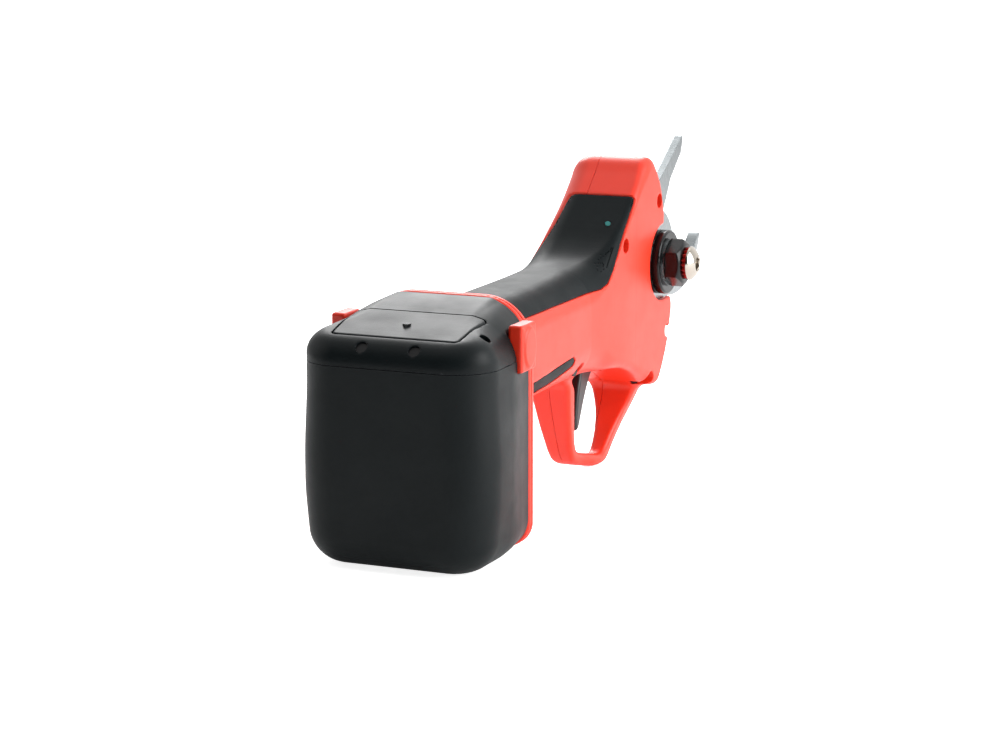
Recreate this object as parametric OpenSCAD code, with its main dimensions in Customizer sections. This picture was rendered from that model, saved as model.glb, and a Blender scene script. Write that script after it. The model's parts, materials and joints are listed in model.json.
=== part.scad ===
// Cordless pruning shear: battery pack, pistol grip with trigger, geared drive and bypass blades.
// X is the tool's right, Y points forward along the grip and Z is up. The origin is the middle of
// the battery's flat foot, on which the tool stands together with the foot of its trigger guard.

/* [Battery] */
// Width of the battery pack
battery_width = 70; // [68:1:74]
// Depth of the battery pack along the grip
battery_depth = 50; // [48:1:54]
// Height of the battery pack
battery_height = 89; // [87:1:92]
// Wall thickness of the battery casing
battery_wall = 2.2; // [1.8:0.1:2.6]
// Height of the seam between battery case and cap
seam_height = 70.4; // [70:0.1:71]
// Diameter of one round lithium cell
cell_diameter = 18.4; // [18:0.1:18.6]
// Length of one round lithium cell
cell_length = 65; // [64:0.5:66]

/* [Body shells] */
// Wall thickness of the moulded shells
shell_wall = 2.4; // [2:0.1:2.8]
// Distance of the head's right face from the middle plane
head_half = 20.8; // [20.6:0.1:21.2]
// Distance of the head's left face from the middle plane
head_left = 12.8; // [12.6:0.1:13.4]
// Thickness of the soft grip cover over the shells
grip_skin = 1.1; // [1:0.1:1.4]

/* [Blades] */
// Distance from the battery's middle to the blade pivot
pivot_y = 193; // [190:1:196]
// Height of the blade pivot above the foot
pivot_z = 78; // [76:1:80]
// Angle of the opened cutting blade above the horizontal
open_angle = 43; // [38:1:46]
// Reach of the cutting blade from its pivot
blade_reach = 67; // [60:1:70]
// Thickness of the cutting blade
blade_thick = 3.4; // [3:0.1:3.6]
// Thickness of the fixed hooked blade
hook_thick = 4.8; // [4.4:0.1:5]
// Diameter of the pivot pin
pin_diameter = 10; // [9:0.5:10.5]

/* [Drive] */
// Slope of the motor and gearbox axis
drive_tilt = 8; // [7:0.5:9]
// Teeth of the drive pinion
pinion_teeth = 9; // [9:1:9]
// Teeth of the full crown wheel of which the blade carries a sector
crown_teeth = 36; // [36:1:36]
// Teeth of the gearbox sun wheel
sun_teeth = 12; // [12:1:12]
// Teeth of each planet wheel
planet_teeth = 15; // [15:1:15]
// Outer radius of the motor can
motor_radius = 12.4; // [11.5:0.1:12.6]

/* [Trigger] */
// Width of the trigger
trigger_width = 9; // [8:0.5:10]
// Position of the trigger's hinge pin along the grip
trigger_y = 151; // [149:0.5:152]
// Height of the trigger's hinge pin
trigger_z = 50; // [49:0.5:51]

/* [Hidden] */
$fn = 48;

half_depth = battery_depth / 2;
flange_y = half_depth + 0.3;
flange_thick = 5;
handle_start = flange_y + flange_thick + 0.2;
fit_gap = 0.2;
strip_skin = 1.1;
screw_radius = 1.5;
small_pin_radius = 1.5;
red = [0.91, 0.2, 0.11];
black = [0.07, 0.08, 0.085];
rubber = [0.11, 0.12, 0.125];
steel = [0.66, 0.67, 0.68];
front_narrow = 3.6;
rear_roll = 7.2;
cells_z = 5.4;
links_z = cells_z + cell_length;
rear_roll_z = 72;
panel_rear = -17.5;
panel_front = 4.6;
window_y = -7;
window_z = 82;
lock_x = 31.6;
lock_y = 14.2;
lock_z = 74.2;
latch_long = 12.6;
latch_tall = 16.4;
gear_module = 0.5;
crown_module = 1;
crown_radius = crown_module * crown_teeth / 2;
ring_teeth = sun_teeth + 2 * planet_teeth;
carrier_radius = gear_module * (sun_teeth + planet_teeth) / 2;
blade_x = 8;
cheek_left = 10.2;
cheek_thick = 4;
hook_x = blade_x + blade_thick + 0.3;
clamp_x = hook_x + hook_thick;
disc_x = clamp_x + 1.4;
washer_x = disc_x + 5.6;
nut_x = washer_x + 0.6;
lock_ring_x = nut_x + 6.5;
bolt_x = lock_ring_x + 2;
planet_back = 55;
planet_width = 7;
motor_back = 106;
motor_front = 62;

// Slices of the grip and head: place along Y, lowest and highest Z, left and right X, corner radius.
SLICES = [
    [handle_start, 42, 84, -18, 18, 13],
    [60, 42, 84, -18.6, 18.6, 14],
    [118, 42.5, 84.5, -18.6, 18.8, 13.5],
    [134, 42.5, 87.5, -17.4, 19.6, 12.5],
    [150, 41.5, 99, -15.6, 20.4, 11],
    [164, 38, 111, -13.4, head_half, 10],
    [174, 33, 118.5, -head_left, head_half, 9],
    [182, 29, 121.5, -head_left, head_half, 8],
    [188, 28.5, 113, -head_left, head_half, 6],
    [195, 32, 94, -head_left, head_half, 4]
];
// Side view of the soft cover: level edge along the grip, then up the back of the head.
COVER_EDGE = [[handle_start + 0.2, 76.2], [131, 76.2], [136, 79.5], [140, 85], [156.5, 104.6], [140, 124],
    [handle_start + 0.2, 124]];

// ---------- shared shapes ----------

// A thin upright slice of the body, square to Y.
module slice(row, inset) {
    r = max(row[5] - inset, 1.5);
    for (x = [row[3] + inset + r, row[4] - inset - r])
        for (z = [row[1] + inset + r, row[2] - inset - r])
            translate([x, row[0], z])
                rotate([90, 0, 0]) cylinder(r = r, h = 0.2, center = true, $fn = 24);
}

// The grip and head as one solid, drawn inwards by inset.
module body_form(inset) {
    for (i = [0:len(SLICES) - 2])
        hull() {
            slice(SLICES[i], inset);
            slice(SLICES[i + 1], inset);
        }
}

// Moves its children from the pivot to a place s behind it on the tilted drive axis, Z forward.
module on_drive(s) {
    translate([0, pivot_y, pivot_z])
        rotate([drive_tilt, 0, 0])
            translate([0, -s, 0])
                rotate([-90, 0, 0]) children();
}

// A disc or tube round the pivot axis, from x_from to the right.
module on_pivot(x_from) {
    translate([x_from, pivot_y, pivot_z]) rotate([0, 90, 0]) children();
}

// An outline drawn in the side view (Y, Z), given thickness along X from x_from.
module side_plate(x_from, thick) {
    translate([x_from, 0, 0]) rotate([90, 0, 90]) linear_extrude(thick) children();
}

function involute(a) = tan(a) - a * PI / 180;
function flank_half(r, rp, base, half) =
    (half / rp + involute(acos(base / rp)) - involute(acos(min(1, base / r)))) * 180 / PI;

// A spur wheel's outline: m is the module, slack is what each tooth is thinner by at the pitch line.
module wheel_outline(teeth, m, slack, add, ded) {
    rp = m * teeth / 2;
    base = rp * cos(25);
    half = (PI * m / 2 - slack) / 2;
    radii = [for (k = [0:4]) max(base, rp - ded) + (rp + add - max(base, rp - ded)) * k / 4];
    root = rp - ded;
    points = [
        for (t = [0:teeth - 1]) each [
            [-flank_half(radii[0], rp, base, half) - 0.01, root],
            for (r = radii) [-flank_half(r, rp, base, half), r],
            for (k = [4:-1:0]) [flank_half(radii[k], rp, base, half), radii[k]],
            [flank_half(radii[0], rp, base, half) + 0.01, root]
        ] * [[1, 0], [0, 1]]
    ];
    turned = [
        for (i = [0:len(points) - 1])
            let (a = points[i][0] + floor(i / 12) * 360 / teeth, r = points[i][1])
                [r * cos(a), r * sin(a)]
    ];
    polygon(turned);
}

// Rounded pack form: upright rear corners, a roll along the rear top edge, a top that rises
// forward to round shoulders, and a flat foot.
module battery_form(inset) {
    w = battery_width / 2 - inset;
    h = battery_height - inset;
    front = half_depth - inset;
    r_top = 18 - inset;
    r_rear = 15.5 - inset;
    r_foot = 11 - inset * 0.8;
    roll = rear_roll - inset;
    hull() for (sx = [-1, 1]) {
        translate([sx * (w - r_rear), -half_depth + inset + r_rear, rear_roll_z])
            rotate_extrude($fn = 32) translate([r_rear - roll, 0]) circle(roll, $fn = 32);
        translate([sx * (w - r_foot - 1.6), -half_depth + inset + r_foot + 1.2, inset + r_foot])
            sphere(r_foot, $fn = 32);
        translate([sx * (w - r_top), 2, h - r_top - 5]) sphere(r_top, $fn = 32);
        translate([sx * (w - front_narrow - r_top), front, h - r_top])
            rotate([90, 0, 0]) cylinder(r = r_top, h = 4, $fn = 32);
        translate([sx * (w - front_narrow - 8.6), front, inset + 8])
            rotate([90, 0, 0]) cylinder(r = 8, h = 4, $fn = 32);
    }
}

// ---------- battery ----------

// Two screw places on the rear roll and two on the shoulders, out from the curve's centre, Z outward.
module at_cap_screws(out) {
    for (side = [-1, 1]) {
        translate([side * 9.7, -half_depth + rear_roll, rear_roll_z]) rotate([41, 0, 0])
            translate([0, 0, out])
            children();
        translate([side * 22, -8.3, rear_roll_z - 1]) rotate([0, side * 42, 0]) translate([0, 0, out + 3.4])
            children();
    }
}

module battery_shell() {
    difference() {
        battery_form(0);
        battery_form(battery_wall);
        for (sx = [-1, 1])
            translate([sx * lock_x, lock_y, lock_z])
                cube([14, latch_long + 0.8, latch_tall + 0.8], center = true);
        translate([0, half_depth, 54]) cube([38, 2 * battery_wall + 1, 26], center = true);
    }
}

module battery_case() {
    color(black) difference() {
        battery_shell();
        translate([-50, -50, seam_height]) cube([100, 100, 60]);
    }
}

module battery_cap() {
    color(black) difference() {
        battery_shell();
        translate([-50, -50, seam_height - 100]) cube([100, 100, 100]);
        at_cap_screws(4.5) cylinder(r = 2.3, h = 6);
        translate([0, window_y, window_z - 4]) cylinder(r = 1.5, h = 8);
    }
}

module battery_panel() {
    color(black) difference() {
        intersection() {
            battery_form(-0.6);
            translate([0, 0, 70]) linear_extrude(30)
                polygon([[-22.8, panel_rear], [22.8, panel_rear], [24, panel_front], [-24, panel_front]]);
        }
        battery_form(-0.1);
        translate([0, window_y, 70]) cylinder(r = 1.5, h = 30);
    }
}

module charge_window() {
    color("dimgray") translate([0, window_y, window_z]) cylinder(r = 1.4, h = 1.4);
}

module battery_screws() {
    color("dimgray") at_cap_screws(3.4) cylinder(r = 2.2, h = 3);
}

module battery_cells() {
    color("steelblue") for (ix = [-1:1])
        for (iy = [0, 1])
            translate([ix * (cell_diameter + 0.3), -10 + iy * (cell_diameter + 0.3), cells_z])
                cylinder(d = cell_diameter, h = cell_length);
}

module cell_trays() {
    color([0.2, 0.2, 0.2]) for (z = [cells_z - 2.1, links_z + 0.5]) difference() {
        intersection() {
            translate([-28, -19.5, z]) cube([56, 38, 2]);
            battery_form(battery_wall + 0.4);
        }
        for (ix = [-1:1])
            for (iy = [0, 1])
                translate([ix * (cell_diameter + 0.3), -10 + iy * (cell_diameter + 0.3), z - 1])
                    cylinder(r = 6.5, h = 6);
    }
}

module cell_links() {
    color(steel) for (ix = [-1:1])
        translate([ix * (cell_diameter + 0.3) - 4, -16, links_z + 0.1]) cube([8, 30, 0.3]);
}

module battery_board() {
    color("seagreen") translate([-20, -8, links_z + 3.6]) cube([40, 24, 1.6]);
}

module battery_socket() {
    color([0.15, 0.15, 0.15]) difference() {
        translate([-17, half_depth - 5, 43]) cube([34, 5, 22]);
        for (ix = [-1.5:1:1.5])
            translate([ix * 8 - 0.9, half_depth - 4, 46]) cube([1.8, 5, 16]);
    }
}

// A spring-loaded button with an oval face that stands out of the battery's side.
module latch_form() {
    rotate([0, 90, 0]) {
        translate([0, 0, -1]) linear_extrude(4.2) square([latch_tall, latch_long], center = true);
        translate([0, 0, 3.2]) linear_extrude(2) for (sz = [-1, 1]) translate([sz * 2, 0]) circle(5.4);
    }
}

module latch_right() {
    color(red) translate([lock_x, lock_y, lock_z]) latch_form();
}

module latch_left() {
    color(red) mirror([1, 0, 0]) translate([lock_x, lock_y, lock_z]) latch_form();
}

// A short coil, drawn as its turns.
module coil(turns, radius, wire, pitch) {
    for (k = [0:turns - 1])
        translate([0, 0, k * pitch]) rotate_extrude() translate([radius, 0]) circle(wire / 2, $fn = 16);
}

module latch_spring_right() {
    color(steel) translate([22.9, lock_y, lock_z + 2.4]) rotate([0, 90, 0]) coil(4, 2.6, 0.7, 1.6);
}

module latch_spring_left() {
    color(steel) mirror([1, 0, 0]) translate([22.9, lock_y, lock_z + 2.4]) rotate([0, 90, 0])
        coil(4, 2.6, 0.7, 1.6);
}

// ---------- grip and head ----------

module rear_flange() {
    color(red) difference() {
        translate([0, flange_y + flange_thick, 0]) rotate([90, 0, 0]) linear_extrude(flange_thick) hull() {
            for (sx = [-1, 1]) {
                translate([sx * 13.4, battery_height - 17.9]) circle(18.1);
                translate([sx * 22.4, 9.4]) circle(9);
            }
        }
        translate([-18, flange_y - 1, 44]) cube([36, flange_thick + 2, 20]);
    }
}

// The finger guard's loop in side view, outside edge and opening.
GUARD_OUT = [[119, 46], [121.6, 37], [125.6, 25], [130, 14.5], [134, 7.5], [138.5, 4.2], [146, 2.2],
    [154.5, 0],
    [163, 0], [167, 0.9], [172.5, 5.5], [179, 12], [184.5, 18.5], [187.5, 26], [189, 46]];
GUARD_IN = [[126.8, 44], [128.8, 36], [131.6, 26], [134.6, 16.8], [138, 10.6], [143, 8], [150, 6.6],
    [157, 4.6],
    [161.5, 4.2], [165, 7], [170.5, 12.5], [175.5, 17.5], [179.5, 25], [180.5, 44]];
guard_shift = 4;

// One cross-section of the guard: place along Y, middle X, half width at the bottom, middle and top.
GUARD_WIDTHS = [[118, 0, 4.6, 7.2, 9], [138, 0, 4.6, 7.2, 9], [163, guard_shift, 3.6, 6, 10],
    [190, guard_shift, 3.6, 6, 12]];

module guard_section(row) {
    translate([row[1], row[0], 0]) rotate([90, 0, 0]) linear_extrude(0.1)
        polygon([[-row[2], 0], [row[2], 0], [row[3], 22], [row[4], 46], [-row[4], 46], [-row[3], 22]]);
}

module guard_loop() {
    intersection() {
        side_plate(-12, 32) difference() {
            polygon(GUARD_OUT);
            polygon(GUARD_IN);
        }
        for (i = [0:len(GUARD_WIDTHS) - 2])
            hull() {
                guard_section(GUARD_WIDTHS[i]);
                guard_section(GUARD_WIDTHS[i + 1]);
            }
    }
}

module chin() {
    side_plate(-head_left, head_left + head_half)
        polygon([[184, 30], [190.5, 30.7], [195.5, 37.3], [200, 44.8], [202.7, 52.6], [204.3, 59.8],
            [184, 62]]);
}

// Posts inside the shells for their screws, and bearings for the trigger's pin.
module shell_posts() {
    for (place = SHELL_SCREWS)
        translate([-30, place[0], place[1]]) rotate([0, 90, 0]) cylinder(r = 3.9, h = 60);
    translate([-30, trigger_y, trigger_z]) rotate([0, 90, 0]) cylinder(r = 3.6, h = 60);
}

module shell_solid() {
    difference() {
        union() {
            body_form(0);
            guard_loop();
            chin();
        }
        difference() {
            body_form(shell_wall);
            translate([-30, 118, 20]) cube([60, 100, 24.5]);
            shell_posts();
        }
        for (place = SHELL_SCREWS) {
            translate([-6, place[0], place[1]]) rotate([0, 90, 0])
                cylinder(r = screw_radius + fit_gap, h = 40);
            translate([12.5, place[0], place[1]]) rotate([0, 90, 0]) cylinder(r = 2.9, h = 12);
        }
        translate([-12.2, trigger_y, trigger_z]) rotate([0, 90, 0])
            cylinder(r = small_pin_radius + 0.04, h = 26.4);
        translate([-trigger_width / 2 - 0.6, trigger_y - 5, trigger_z - 5])
            cube([trigger_width + 5.2, 10, 10]);
        at_lens(-4) cylinder(r = 1.3, h = 8);
        side_plate(shell_wall - head_left, head_left + head_half - 2 * shell_wall)
            polygon([[172, 36], [188, 36], [193, 40], [196.3, 45], [197, 52.5], [200, 54], [200.5, 64],
                [172, 64]]);
        // room for the soft cover over the back of the grip
        difference() {
            side_plate(-30, 60) offset(delta = fit_gap) polygon(COVER_EDGE);
            body_form(grip_skin + fit_gap);
        }
        // room for the strips along the lower sides
        difference() {
            strip_region(fit_gap);
            body_form(strip_skin + fit_gap);
        }
        // blade chamber, open to the front
        on_pivot(shell_wall - head_left) cylinder(r = 24, h = head_left + head_half - 2 * shell_wall);
        translate([blade_x - 0.8, 183, 62.4]) cube([head_half - shell_wall - blade_x + 0.8, 40, 45]);
        translate([-30, 197, 62.4]) cube([60, 20, 60]);
        // round clearance for the pivot stack on the right side
        on_pivot(head_half - shell_wall - 1) cylinder(r = 15.6, h = 8);
        translate([head_half - shell_wall - 1, pivot_y, 62.4]) cube([8, 20, 31]);
        // slot for the trigger
        translate([-trigger_width / 2 - 0.6, 133, 30]) cube([trigger_width + 1.2, 32, 20]);
    }
}

module half_shell(side) {
    color(red) intersection() {
        shell_solid();
        translate([side > 0 ? 0.05 : -60.05, 0, -10]) cube([60, 260, 160]);
    }
}

module shell_right() {
    half_shell(1);
}

module shell_left() {
    half_shell(-1);
}

module grip_cover() {
    color(rubber) difference() {
        intersection() {
            side_plate(-30, 60) polygon(COVER_EDGE);
            body_form(0);
        }
        body_form(grip_skin);
        at_lens(-4) cylinder(r = 1.3, h = 8);
    }
}

// A rubber strip let into each lower side of the grip.
STRIP_EDGE = [[handle_start + 1, 44], [handle_start + 1, 50], [61, 51.4], [96, 54.2], [100.5, 54.6],
    [102.5, 52.8], [101, 51], [82, 47.3], [61, 45]];

module strip_region(grow) {
    side_plate(-30, 60) offset(delta = grow) polygon(STRIP_EDGE);
}

module grip_strip(side) {
    color(rubber) intersection() {
        difference() {
            body_form(0);
            body_form(strip_skin);
        }
        strip_region(0);
        translate([side > 0 ? 0 : -30, 0, 0]) cube([30, 120, 120]);
    }
}

module grip_strip_right() {
    grip_strip(1);
}

module grip_strip_left() {
    grip_strip(-1);
}

// Screws that join the two shells, sunk in the right side; each place is [y, z].
SHELL_SCREWS = [[150.5, 90], [187, 103.2], [199, 49], [112, 47.6], [180, 32.5]];

module shell_screws() {
    color([0.25, 0.25, 0.26]) for (place = SHELL_SCREWS)
        translate([-5.8, place[0], place[1]]) rotate([0, 90, 0]) {
            cylinder(r = screw_radius, h = 18.6);
            translate([0, 0, 18.5]) cylinder(r = 2.6, h = 1.8);
        }
}

// The lens place on the back of the head, out from the surface, Z outward.
module at_lens(out) {
    translate([13, 150, 98.4]) rotate([40, 19, 0]) translate([0, 0, out]) children();
}

module status_lens() {
    color("teal") at_lens(-1.7) cylinder(r = 1.1, h = 1.8);
}

module terminal_block() {
    color([0.16, 0.16, 0.16]) translate([-17, flange_y, 45]) cube([34, flange_thick, 18]);
    color("goldenrod") for (ix = [-1.5:1:1.5])
        translate([ix * 8 - 0.4, half_depth - 3.4, 48]) cube([0.8, flange_y - half_depth + 3.4, 12]);
}

module control_board() {
    color("seagreen") translate([-13, 44, 49]) cube([26, 1.6, 27]);
}

module board_capacitors() {
    color("dimgray") for (sx = [-1, 1])
        translate([sx * 6.5, 45.6, 62]) rotate([-90, 0, 0]) cylinder(r = 5, h = 16);
}

// ---------- motor and gearbox ----------

module motor_can() {
    color(steel) on_drive(motor_back) difference() {
        cylinder(r = motor_radius, h = motor_back - motor_front);
        translate([0, 0, 2]) cylinder(r = motor_radius - 1.6, h = motor_back - motor_front - 4);
        translate([0, 0, -1]) cylinder(r = 1.56, h = 60);
    }
}

module motor_rotor() {
    color("peru") on_drive(motor_back) {
        translate([0, 0, 0.4]) cylinder(r = 1.5, h = motor_back - planet_back - 0.4);
        translate([0, 0, 9]) cylinder(r = 8, h = 26);
        translate([0, 0, motor_back - planet_back])
            linear_extrude(planet_width) wheel_outline(sun_teeth, gear_module, 0.12, 0.4, 0.5);
    }
}

module ring_gear() {
    color(steel) on_drive(motor_front - 0.3) difference() {
        cylinder(r = 13, h = 18.7);
        translate([0, 0, -1]) linear_extrude(22) wheel_outline(ring_teeth, gear_module, -0.12, 0.55, 0.4);
    }
}

module planet(angle) {
    color("silver") on_drive(planet_back) rotate([0, 0, angle]) translate([carrier_radius, 0, 0])
        linear_extrude(planet_width) difference() {
            wheel_outline(planet_teeth, gear_module, 0.12, 0.4, 0.5);
            circle(1.28);
        }
}

module planet_a() {
    planet(0);
}

module planet_b() {
    planet(120);
}

module planet_c() {
    planet(240);
}

module planet_carrier() {
    color("gray") on_drive(planet_back) {
        for (angle = [0, 120, 240])
            rotate([0, 0, angle]) translate([carrier_radius, 0, 0.2])
                cylinder(r = 1.22, h = planet_width + 1);
        translate([0, 0, planet_width + 0.6]) cylinder(r = 9.3, h = 3);
        translate([0, 0, planet_width + 3]) cylinder(r = 2.48, h = planet_back - planet_width - 3 - 14.5);
    }
}

module output_bearing() {
    color(steel) on_drive(38) difference() {
        cylinder(r = 6.5, h = 7);
        translate([0, 0, -1]) cylinder(r = 2.54, h = 12);
    }
}

module drive_pinion() {
    color("gray") on_drive(crown_radius + 1.8) linear_extrude(3.6) difference() {
        wheel_outline(pinion_teeth, crown_module, 0.5, 0.8, 1.1);
        circle(2.5);
    }
}

// ---------- head, blades and pivot ----------

HOOK_SCREWS = [[-9, -29], [-2, -29]];

module head_frame() {
    color([0.72, 0.73, 0.75]) difference() {
        union() {
            on_drive(42.4) cylinder(r = 12.2, h = 3);
            on_drive(42.4) cylinder(r = 9.4, h = 15);
            on_pivot(-cheek_left) cylinder(r = 14, h = cheek_thick);
            side_plate(-cheek_left, cheek_thick) translate([pivot_y, pivot_z])
                polygon([[-38, -12], [-38, 0], [-14, 13], [7, 10], [7, -15], [2, -26], [-2, -36], [-14,
                    -36]]);
            side_plate(-cheek_left, hook_x + cheek_left - 0.1) translate([pivot_y, pivot_z])
                polygon([[-14, -36], [-14, -25], [1, -23.5], [2, -27], [-2, -36]]);
        }
        on_drive(43) cylinder(r = 6.54, h = 17);
        on_pivot(-20) cylinder(d = pin_diameter + 0.04, h = 30);
        for (place = HOOK_SCREWS)
            translate([0, pivot_y + place[0], pivot_z + place[1]]) rotate([0, 90, 0])
                cylinder(r = 2, h = 30);
    }
}

// The fixed hooked blade, relative to the pivot.
HOOK_OUTLINE = [[-14, -10], [-15, -25], [-14.5, -36], [-2, -36], [2, -26], [7, -15.2], [11, -15.2],
    [24, -17.5],
    [38, -16],
    [50, -9], [56, -1], [58, 4.5], [55, 3.5], [47, -3.5], [37, -8], [27, -9], [20, -6.5], [16, 0], [0, 8]];

module hook_blade() {
    color(steel) side_plate(hook_x, hook_thick) translate([pivot_y, pivot_z]) difference() {
        union() {
            circle(16);
            polygon(HOOK_OUTLINE);
        }
        circle(d = pin_diameter + 0.04);
        for (place = HOOK_SCREWS) translate(place) circle(2);
    }
}

module hook_screws() {
    color([0.3, 0.3, 0.32]) for (place = HOOK_SCREWS)
        translate([0, pivot_y + place[0], pivot_z + place[1]]) rotate([0, 90, 0]) {
            translate([0, 0, 2]) cylinder(r = 1.98, h = hook_x + hook_thick - 2);
            translate([0, 0, hook_x + hook_thick]) cylinder(r = 3.4, h = 1.6);
        }
}

module clamp_plate() {
    color(steel) on_pivot(clamp_x) difference() {
        cylinder(r = 21, h = 1.4);
        translate([0, 0, -1]) cylinder(d = pin_diameter + 0.04, h = 4);
    }
}

// The cutting blade's outline with its axis along the first coordinate.
BLADE_OUTLINE = [[3, 11], [12, 13.4], [26, 10.4], [42, 6.2], [56, 3], [blade_reach, 0.8], [60, -3.6],
    [50, -7], [38, -10], [25, -12], [12, -12.6], [3, -11]];

module cutting_blade() {
    color(steel) translate([blade_x, pivot_y, pivot_z]) rotate([open_angle, 0, 0])
        rotate([90, 0, 90]) linear_extrude(blade_thick) difference() {
            union() {
                circle(15);
                polygon(BLADE_OUTLINE);
            }
            circle(7);
        }
}

module crown_sector() {
    rest = 180 + drive_tilt;
    color("gray") {
        side_plate(blade_x - 2.5, 2.5) translate([pivot_y, pivot_z]) difference() {
            union() {
                circle(12);
                intersection() {
                    circle(20.4);
                    polygon([[0, 0], for (a = [rest - 12:12:rest + 72]) [40 * cos(a), 40 * sin(a)]]);
                }
            }
            circle(7);
        }
        for (k = [-1:6])
            translate([0, pivot_y, pivot_z]) rotate([rest + 360 / crown_teeth * (k + 0.5), 0, 0])
                translate([0, crown_radius + 2, 0]) rotate([90, 0, 0]) linear_extrude(4)
                    polygon([[5.52, -0.85], [3.75, -0.36], [3.75, 0.36], [5.52, 0.85]]);
    }
}

module blade_bush() {
    color("darkgoldenrod") on_pivot(blade_x - 2.5) difference() {
        cylinder(r = 6.98, h = blade_thick + 2.5);
        translate([0, 0, -1]) cylinder(r = pin_diameter / 2 + 0.05, h = 10);
    }
}

module pivot_pin() {
    length = lock_ring_x + cheek_left;
    color("silver") on_pivot(-cheek_left) difference() {
        cylinder(d = pin_diameter, h = length);
        translate([0, 0, length - 12]) cylinder(r = 4, h = 13);
    }
}

module thrust_disc() {
    color(black) on_pivot(disc_x) difference() {
        cylinder(r = 12.9, h = 5.6);
        translate([0, 0, -1]) cylinder(d = pin_diameter + 0.04, h = 9);
    }
}

module pivot_washer() {
    color(steel) on_pivot(washer_x) difference() {
        cylinder(r = 9.3, h = 0.6);
        translate([0, 0, -1]) cylinder(d = pin_diameter + 0.04, h = 4);
    }
}

module pivot_nut() {
    color(black) on_pivot(nut_x) difference() {
        cylinder(r = 9.8, h = lock_ring_x - nut_x, $fn = 6);
        translate([0, 0, -1]) cylinder(d = pin_diameter + 0.04, h = 20);
    }
}

module lock_ring() {
    color("firebrick") on_pivot(lock_ring_x) difference() {
        union() {
            cylinder(r = 5.4, h = 2);
            for (k = [0:11]) rotate([0, 0, 30 * k]) translate([5, -0.7, 0]) cube([1.4, 1.4, 2]);
        }
        translate([0, 0, -1]) cylinder(r = 4.02, h = 4);
    }
}

module dome_bolt() {
    dome = 3.6;
    sphere_r = (7 * 7 + dome * dome) / (2 * dome);
    color("silver") on_pivot(bolt_x) difference() {
        union() {
            intersection() {
                translate([0, 0, dome - sphere_r]) sphere(sphere_r);
                cylinder(r = 7, h = dome);
            }
            translate([0, 0, -10]) cylinder(r = 3.96, h = 10.5);
        }
        translate([0, 0, 1]) cylinder(r = 2.9, h = 5, $fn = 6);
    }
}

// ---------- trigger ----------

module trigger() {
    color(black) side_plate(-trigger_width / 2, trigger_width) difference() {
        union() {
            translate([trigger_y, trigger_z]) circle(4.2);
            polygon([[trigger_y - 3.6, trigger_z - 2], [145, 42], [141.6, 32], [139.6, 22], [139.8, 18],
                [142.5, 17.6], [145.5, 23], [149.5, 30], [154.5, 36.5], [159.5, 40.5], [159.5, 46],
                [trigger_y + 3, trigger_z + 2.6]]);
        }
        translate([trigger_y, trigger_z]) circle(small_pin_radius + 0.06);
    }
}

module trigger_pin() {
    color("silver") translate([-12, trigger_y, trigger_z])
        rotate([0, 90, 0]) cylinder(r = small_pin_radius, h = 26);
}

module trigger_spring() {
    color(steel) translate([trigger_width / 2 + 0.9, trigger_y, trigger_z])
        rotate([0, 90, 0]) coil(4, 2.5, 0.7, 0.9);
}

module trigger_sensor() {
    color([0.15, 0.15, 0.15]) translate([-4, 122, 46.4]) cube([8, 12, 6]);
}

module trigger_magnet() {
    color("silver") translate([0, 160.8, 44]) rotate([0, 90, 0]) cylinder(r = 1.2, h = 3, center = true);
}

battery_case();
battery_cap();
battery_panel();
charge_window();
battery_screws();
battery_cells();
cell_trays();
cell_links();
battery_board();
battery_socket();
latch_right();
latch_left();
latch_spring_right();
latch_spring_left();
rear_flange();
shell_right();
shell_left();
grip_cover();
grip_strip_right();
grip_strip_left();
shell_screws();
status_lens();
terminal_block();
control_board();
board_capacitors();
motor_can();
motor_rotor();
ring_gear();
planet_a();
planet_b();
planet_c();
planet_carrier();
output_bearing();
drive_pinion();
head_frame();
hook_blade();
hook_screws();
clamp_plate();
cutting_blade();
crown_sector();
blade_bush();
pivot_pin();
thrust_disc();
pivot_washer();
pivot_nut();
lock_ring();
dome_bolt();
trigger();
trigger_pin();
trigger_spring();
trigger_sensor();
trigger_magnet();
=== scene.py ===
import json
import math

import bpy
import numpy as np
from mathutils import Matrix, Vector


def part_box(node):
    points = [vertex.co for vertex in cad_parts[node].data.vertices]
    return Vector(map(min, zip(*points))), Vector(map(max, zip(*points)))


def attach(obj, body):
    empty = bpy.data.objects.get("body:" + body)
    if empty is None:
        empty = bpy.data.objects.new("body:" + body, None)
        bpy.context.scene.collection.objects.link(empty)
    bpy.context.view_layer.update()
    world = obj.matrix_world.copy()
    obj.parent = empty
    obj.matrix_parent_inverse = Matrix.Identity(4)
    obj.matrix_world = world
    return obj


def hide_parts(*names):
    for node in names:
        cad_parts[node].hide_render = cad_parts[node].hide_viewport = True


MM = 0.001

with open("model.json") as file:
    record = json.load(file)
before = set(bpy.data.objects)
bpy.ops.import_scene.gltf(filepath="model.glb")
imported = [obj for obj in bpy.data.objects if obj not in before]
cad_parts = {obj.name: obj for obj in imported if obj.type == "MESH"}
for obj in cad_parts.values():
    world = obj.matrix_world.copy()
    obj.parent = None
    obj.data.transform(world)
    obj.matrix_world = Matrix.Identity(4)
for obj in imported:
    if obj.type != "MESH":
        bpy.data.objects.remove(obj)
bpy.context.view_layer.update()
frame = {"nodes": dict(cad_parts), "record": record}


def node_box(name):
    """A CAD node's lowest and highest corners in millimetres."""
    lo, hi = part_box(name)
    return np.array(lo) / MM, np.array(hi) / MM


# ---------- distance fields: lengths in millimetres, negative is inside ----------


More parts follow.
